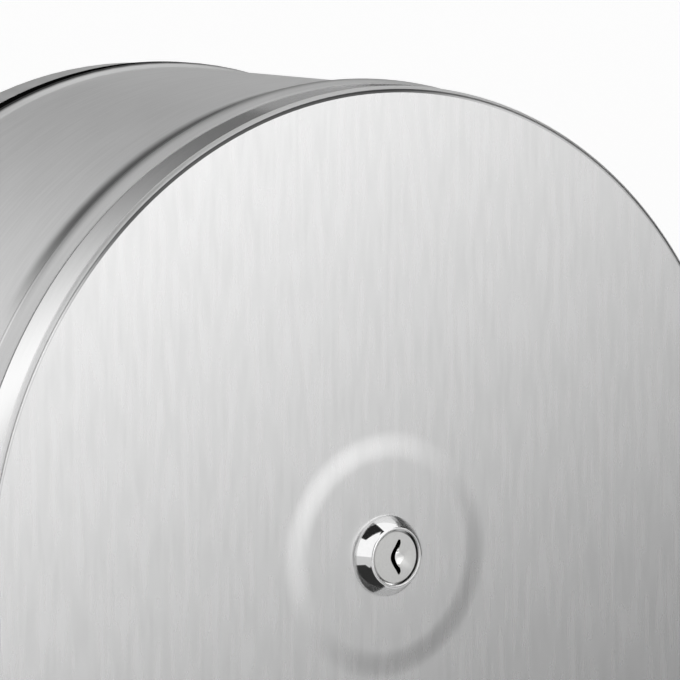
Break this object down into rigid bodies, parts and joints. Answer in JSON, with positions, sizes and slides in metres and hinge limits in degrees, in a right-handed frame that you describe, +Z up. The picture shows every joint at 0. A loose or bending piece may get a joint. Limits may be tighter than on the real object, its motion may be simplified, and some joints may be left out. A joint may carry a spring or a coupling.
{
  "type": "jumbo toilet roll dispenser",
  "caption": "Round wall-mounted sheet-steel drum for a jumbo toilet roll, with a side-hinged locking lid, a turning roll hub and a serrated paper outlet below.",
  "frame": {"origin": "centre of the wall-fixing hole pattern, on the plane of the back plate's wall face", "axes": "+Y into the wall, so the lid faces -Y; +Z up; +X to the right of someone facing the lid"},
  "size_m": [0.2627, 0.1368, 0.256],
  "materials": {
    "casing_steel": "satin stainless steel",
    "lid_steel": "stainless steel brushed from top to bottom",
    "tear_steel": "bright stainless steel",
    "spindle_steel": "turned stainless steel",
    "spring_steel": "zinc-plated steel",
    "rivet_aluminium": "plain aluminium",
    "lock_chrome": "bright chrome plate",
    "plug_nickel": "satin nickel plate",
    "nut_brass": "machined brass",
    "seal_rubber": "black rubber",
    "hub_plastic": "moulded black plastic",
    "white_nylon": "natural nylon"
  },
  "bodies": {
    "casing": {"back_plate": "casing_steel", "drum_wall": "casing_steel", "mouth_ring": "casing_steel", "rear_seal": "seal_rubber", "tear_bar_left": "tear_steel", "tear_bar_right": "tear_steel", "tear_bar_rivets": "rivet_aluminium", "spindle_flange": "casing_steel", "flange_rivets": "rivet_aluminium", "spindle_tube": "spindle_steel", "keeper_plate": "tear_steel", "hub_spacer": "white_nylon", "front_washer": "white_nylon", "retaining_ring": "spring_steel", "hinge_leaf_fixed": "casing_steel", "leaf_rivets": "rivet_aluminium", "hinge_pin": "spindle_steel"},
    "lid": {"front_lid": "lid_steel", "hinge_leaf_moving": "casing_steel", "lock_housing": "lock_chrome", "lock_washer": "spring_steel", "lock_nut": "nut_brass"},
    "lock_plug": {"lock_plug": "plug_nickel", "lock_cam": "spring_steel", "cam_screw": "spring_steel"},
    "roll_hub": {"core_hub": "hub_plastic", "rear_bush": "white_nylon", "front_bush": "white_nylon"}
  },
  "joints": [
    {"name": "lid_hinge", "type": "hinge", "parent": "casing", "child": "lid", "pos_m": [0.1321, -0.1205, 0], "axis": [0, 0, 1], "range_deg": [0, 180]},
    {"name": "lock_turn", "type": "hinge", "parent": "lid", "child": "lock_plug", "pos_m": [0, -0.132, 0], "axis": [0, 1, 0], "range_deg": [0, 90]},
    {"name": "hub_spin", "type": "hinge", "parent": "casing", "child": "roll_hub", "pos_m": [0, -0.0602, 0], "axis": [0, 1, 0], "continuous": true}
  ]
}
